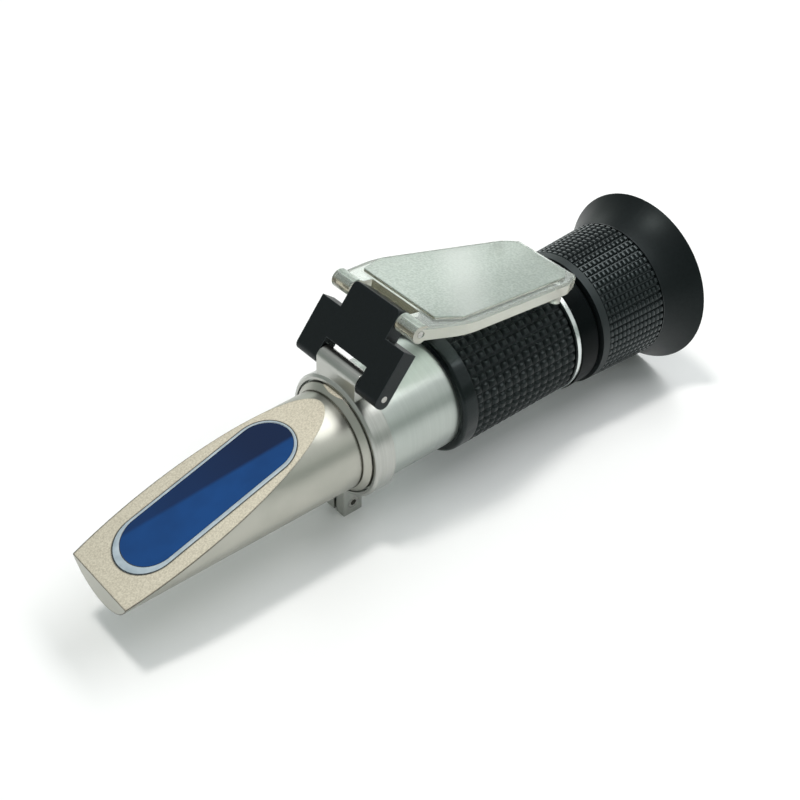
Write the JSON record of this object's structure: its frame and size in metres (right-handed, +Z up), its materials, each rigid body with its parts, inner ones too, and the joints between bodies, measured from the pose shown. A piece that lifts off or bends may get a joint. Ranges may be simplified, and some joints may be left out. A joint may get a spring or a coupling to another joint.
{
  "type": "handheld refractometer",
  "caption": "Handheld optical refractometer with a slanted prism nose, a hinged daylight plate that swings back over the tube, and a knurled focusing eyepiece with a flared cup.",
  "frame": {"origin": "on the surface the instrument rests on, under the middle of its length", "axes": "+X along the optical axis from the prism nose towards the eyecup, +Z up through the hinge bracket, +Y across"},
  "size_m": [0.1688, 0.0474, 0.0584],
  "materials": {
    "prism_housing": "bead-blasted slanted face, satin turned sides",
    "prism": "polished optical glass that looks deep blue from above",
    "prism_seal": "grey-white sealing compound",
    "clamp_ring": "satin",
    "clamp_screw": "bright steel",
    "main_tube": "satin anodised",
    "housing_set_screws": "blackened steel",
    "objective_cell": "black anodised",
    "objective_crown_lens": "polished and coated",
    "objective_flint_lens": "polished and coated",
    "objective_retainer": "black anodised",
    "reticle_cell": "black anodised",
    "reticle": "plain glass disc",
    "reticle_retainer": "black anodised",
    "grip_sleeve": "chequered, smooth front lip",
    "tube_end_ring": "satin",
    "eyepiece_barrel": "satin black",
    "friction_ring": "nylon",
    "snap_ring": "spring steel",
    "guide_pin": "ground steel",
    "hinge_link": "satin black",
    "lower_hinge_pin": "ground steel",
    "upper_hinge_pin": "ground steel",
    "daylight_plate": "clear acrylic with a frosted pad",
    "focus_ring": "black, finely knurled",
    "eyecup": "matte black",
    "lens_cell": "black anodised",
    "field_lens": "polished",
    "lens_spacer": "black anodised",
    "eye_lens": "polished",
    "eye_lens_retainer": "black anodised"
  },
  "bodies": {
    "frame": {"prism_housing": "prism_housing", "prism": "prism", "prism_seal": "prism_seal", "clamp_ring": "clamp_ring", "clamp_screw": "clamp_screw", "main_tube": "main_tube", "housing_set_screws": "housing_set_screws", "objective_cell": "objective_cell", "objective_crown_lens": "objective_crown_lens", "objective_flint_lens": "objective_flint_lens", "objective_retainer": "objective_retainer", "reticle_cell": "reticle_cell", "reticle": "reticle", "reticle_retainer": "reticle_retainer", "grip_sleeve": "grip_sleeve", "tube_end_ring": "tube_end_ring", "eyepiece_barrel": "eyepiece_barrel", "friction_ring": "friction_ring", "snap_ring": "snap_ring", "guide_pin": "guide_pin"},
    "link": {"hinge_link": "hinge_link", "lower_hinge_pin": "lower_hinge_pin", "upper_hinge_pin": "upper_hinge_pin"},
    "plate": {"daylight_plate": "daylight_plate"},
    "focus": {"focus_ring": "focus_ring", "eyecup": "eyecup"},
    "cell": {"lens_cell": "lens_cell", "field_lens": "field_lens", "lens_spacer": "lens_spacer", "eye_lens": "eye_lens", "eye_lens_retainer": "eye_lens_retainer"}
  },
  "joints": [
    {"name": "link_swing", "type": "hinge", "parent": "frame", "child": "link", "pos_m": [-0.0176, 0, 0.0425], "axis": [0, -1, 0], "range_deg": [0, 150.4]},
    {"name": "plate_swing", "type": "hinge", "parent": "link", "child": "plate", "pos_m": [-0.00726, 0, 0.0554], "axis": [0, -1, 0], "range_deg": [-1, 58.4]},
    {"name": "focus_turn", "type": "hinge", "parent": "frame", "child": "focus", "pos_m": [0.0622, 0, 0.0237], "axis": [1, 0, 0], "range_deg": [-150, 150]},
    {"name": "cell_slide", "type": "slide", "parent": "frame", "child": "cell", "axis": [1, 0, 0], "range_m": [-0.002, 0.002]}
  ],
  "couplings": [
    {"joint": "cell_slide", "follows": "focus_turn", "m_per_rad": 0.0007638}
  ]
}
